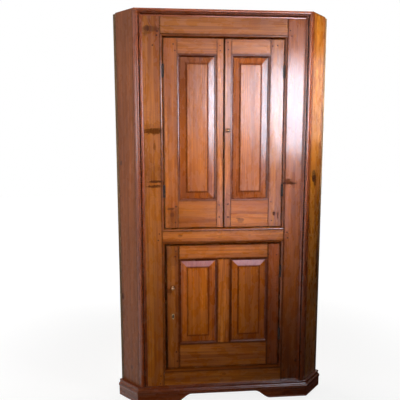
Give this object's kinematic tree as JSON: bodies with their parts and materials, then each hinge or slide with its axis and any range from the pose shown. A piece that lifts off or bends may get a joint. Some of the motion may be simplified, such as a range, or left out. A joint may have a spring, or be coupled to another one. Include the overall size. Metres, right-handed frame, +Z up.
{
  "type": "corner cupboard",
  "caption": "Tall corner cupboard with canted sides, a moulded face frame, panelled doors above a wider panelled door, and an arched plinth.",
  "frame": {"origin": "middle of the cupboard's bounding box, at floor level", "axes": "+Z up, -Y out of the cupboard's front towards a person opening it, +X to that person's right; the two walls of the room's corner are at 45 degrees to X and Y, and meet on the +Y side"},
  "size_m": [1.1226, 0.6681, 2],
  "materials": {
    "frame_pine": "old waxed pine, orange brown, glossy",
    "panel_pine": "old waxed pine, a little lighter, glossy",
    "moulding_pine": "darker red-brown waxed pine",
    "inside_pine": "bare planed pine",
    "back_pine": "rough-sawn pine",
    "hinge_iron": "dark, dull",
    "knob_brass": "aged, rubbed"
  },
  "bodies": {
    "carcass": {"left_stile": "frame_pine", "right_stile": "frame_pine", "top_rail": "frame_pine", "middle_rail": "frame_pine", "bottom_rail": "frame_pine", "left_return": "frame_pine", "right_return": "frame_pine", "left_backboard_1": "back_pine", "left_backboard_2": "back_pine", "left_backboard_3": "back_pine", "right_backboard_1": "back_pine", "right_backboard_2": "back_pine", "right_backboard_3": "back_pine", "top_board": "inside_pine", "middle_board": "inside_pine", "floor_board": "inside_pine", "upper_shelf_1": "inside_pine", "upper_shelf_2": "inside_pine", "lower_shelf_1": "inside_pine", "top_edge_moulding": "moulding_pine", "left_edge_moulding": "moulding_pine", "right_edge_moulding": "moulding_pine", "plinth_front": "moulding_pine", "plinth_left": "moulding_pine", "plinth_right": "moulding_pine", "upper_left_door_lower_hinge_frame_leaf": "hinge_iron", "upper_left_door_upper_hinge_frame_leaf": "hinge_iron", "upper_right_door_lower_hinge_frame_leaf": "hinge_iron", "upper_right_door_upper_hinge_frame_leaf": "hinge_iron", "lower_door_lower_hinge_frame_leaf": "hinge_iron", "lower_door_upper_hinge_frame_leaf": "hinge_iron"},
    "upper_left_door": {"upper_left_door_hinge_stile": "frame_pine", "upper_left_door_meeting_stile": "frame_pine", "upper_left_door_top_rail": "frame_pine", "upper_left_door_bottom_rail": "frame_pine", "upper_left_door_panel": "panel_pine", "upper_left_door_lower_hinge_door_leaf": "hinge_iron", "upper_left_door_upper_hinge_door_leaf": "hinge_iron"},
    "upper_right_door": {"upper_right_door_hinge_stile": "frame_pine", "upper_right_door_meeting_stile": "frame_pine", "upper_right_door_top_rail": "frame_pine", "upper_right_door_bottom_rail": "frame_pine", "upper_right_door_panel": "panel_pine", "upper_right_door_lower_hinge_door_leaf": "hinge_iron", "upper_right_door_upper_hinge_door_leaf": "hinge_iron"},
    "lower_door": {"lower_door_lock_stile": "frame_pine", "lower_door_hinge_stile": "frame_pine", "lower_door_top_rail": "frame_pine", "lower_door_bottom_rail": "frame_pine", "lower_door_muntin": "frame_pine", "lower_door_left_panel": "panel_pine", "lower_door_right_panel": "panel_pine", "lower_door_lower_hinge_door_leaf": "hinge_iron", "lower_door_upper_hinge_door_leaf": "hinge_iron", "lower_pull_knob": "knob_brass", "lock_escutcheon": "knob_brass", "lock_case": "hinge_iron"},
    "upper_left_bolt": {"upper_left_door_bolt": "hinge_iron"},
    "turn_catch": {"upper_turn_catch": "knob_brass"},
    "lock_bolt": {"lock_bolt": "knob_brass"}
  },
  "joints": [
    {"name": "upper_left_door_swing", "type": "hinge", "parent": "carcass", "child": "upper_left_door", "pos_m": [-0.3015, -0.30766, 1.401], "axis": [0, 0, -1], "range_deg": [0, 160]},
    {"name": "upper_right_door_swing", "type": "hinge", "parent": "carcass", "child": "upper_right_door", "pos_m": [0.3015, -0.30766, 1.401], "axis": [0, 0, 1], "range_deg": [0, 160]},
    {"name": "lower_door_swing", "type": "hinge", "parent": "carcass", "child": "lower_door", "pos_m": [0.3005, -0.30766, 0.51], "axis": [0, 0, 1], "range_deg": [0, 150]},
    {"name": "upper_left_bolt_slide", "type": "slide", "parent": "upper_left_door", "child": "upper_left_bolt", "axis": [0, 0, 1], "range_m": [0, 0.012]},
    {"name": "turn_catch_turn", "type": "hinge", "parent": "upper_right_door", "child": "turn_catch", "pos_m": [0.0195, -0.30566, 1.4248], "axis": [0, 1, 0], "range_deg": [0, 90]},
    {"name": "lock_bolt_slide", "type": "slide", "parent": "lower_door", "child": "lock_bolt", "axis": [-1, 0, 0], "range_m": [0, 0.014]}
  ]
}
